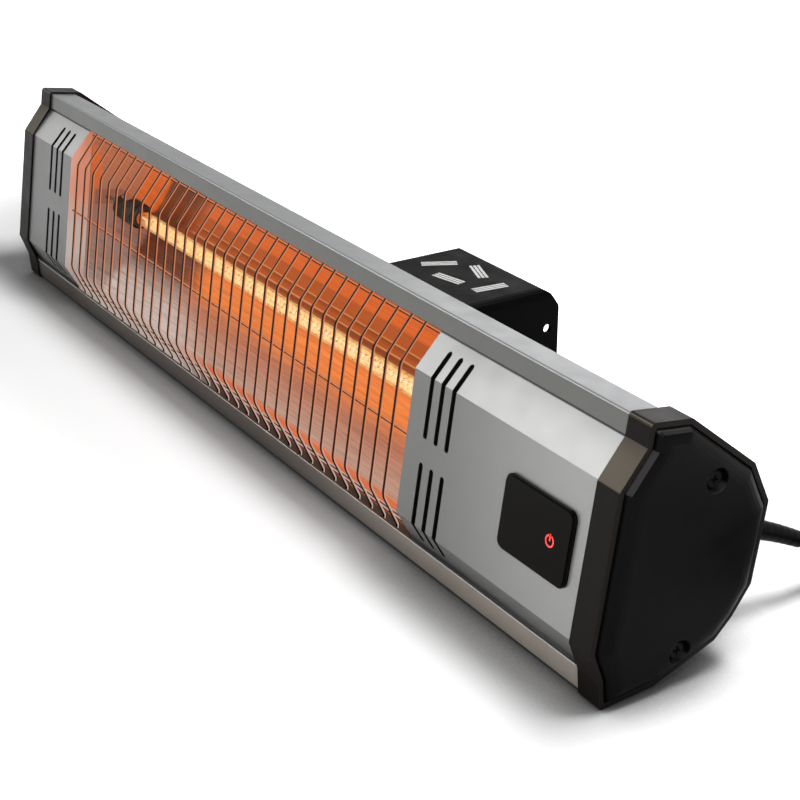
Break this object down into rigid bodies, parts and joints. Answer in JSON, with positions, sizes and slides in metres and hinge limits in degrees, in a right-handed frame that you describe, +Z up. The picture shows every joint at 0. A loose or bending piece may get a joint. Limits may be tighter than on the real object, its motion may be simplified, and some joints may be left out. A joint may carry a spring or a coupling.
{
  "type": "electric bar heater",
  "caption": "Long faceted bar heater with a glowing quartz lamp behind a wire guard, a touch switch beside it and a channel arm that pivots at its back.",
  "frame": {"origin": "on the surface the heater stands on, under the middle of the heater's box without its cord", "axes": "+X along the bar towards the touch switch and the cord, -Y out of the lamp's front, +Z up"},
  "size_m": [0.7464, 0.269, 0.1311],
  "materials": {
    "shell_silver": "satin silver coat over an extruded profile",
    "panel_silver": "smooth silver-grey paint",
    "frame_black": "fine-grained black",
    "cover_black": "fine-grained black",
    "screw_steel": "plain zinc",
    "reflector_bright": "bright rolled",
    "bulkhead_aluminium": "mill finish",
    "quartz_glow": "clear tube round a glowing coil",
    "coil_glow": "glowing resistance wire",
    "ceramic_grey": "matt dark grey",
    "holder_steel": "plain spring steel",
    "lead_white": "glass-fibre sleeve",
    "guard_chrome": "bright plated wire",
    "window_black": "glossy black",
    "symbol_red": "lit red",
    "board_green": "circuit board",
    "brass_plain": "plain",
    "component_blue": "moulded",
    "terminal_white": "moulded",
    "wire_brown": "insulated wire",
    "cutout_steel": "plain",
    "bracket_black": "smooth black powder coat",
    "bolt_black": "blackened",
    "washer_fibre": "pressed fibre",
    "gland_black": "moulded",
    "rubber_black": "smooth black rubber",
    "strap_black": "woven strap",
    "plug_black": "moulded rubber",
    "pin_nickel": "nickel plated"
  },
  "bodies": {
    "heater": {"housing_shell": "shell_silver", "front_panel_left": "panel_silver", "front_panel_right": "panel_silver", "end_frame_left": "frame_black", "end_frame_right": "frame_black", "end_cover_left": "cover_black", "end_cover_right": "cover_black", "end_cover_screws": "screw_steel", "reflector": "reflector_bright", "bulkhead_left": "bulkhead_aluminium", "bulkhead_right": "bulkhead_aluminium", "quartz_tube": "quartz_glow", "heating_coil": "coil_glow", "lamp_ceramic_left": "ceramic_grey", "lamp_ceramic_right": "ceramic_grey", "lamp_holder_left": "holder_steel", "lamp_holder_right": "holder_steel", "lamp_leads": "lead_white", "guard_uprights": "guard_chrome", "guard_cross_wires": "guard_chrome", "touch_window": "window_black", "power_symbol": "symbol_red", "touch_board": "board_green", "control_board": "board_green", "board_standoffs": "brass_plain", "board_components": "component_blue", "terminal_block": "terminal_white", "inner_wiring": "wire_brown", "thermal_cutout": "cutout_steel", "pivot_bracket": "bracket_black", "bracket_screws": "screw_steel", "pivot_bolts": "bolt_black", "pivot_nuts": "screw_steel", "friction_washers": "washer_fibre", "cord_gland": "gland_black", "gland_nut": "gland_black", "cord_boot": "rubber_black", "power_cord": "rubber_black", "cord_coil": "rubber_black", "cord_tie": "strap_black", "plug_body": "plug_black", "plug_pins": "pin_nickel"},
    "arm": {"mounting_arm": "bracket_black"}
  },
  "joints": [
    {"name": "arm_pivot", "type": "hinge", "parent": "heater", "child": "arm", "pos_m": [0, 0.01226, 0.05129], "axis": [1, 0, 0], "range_deg": [-55, 55]}
  ]
}
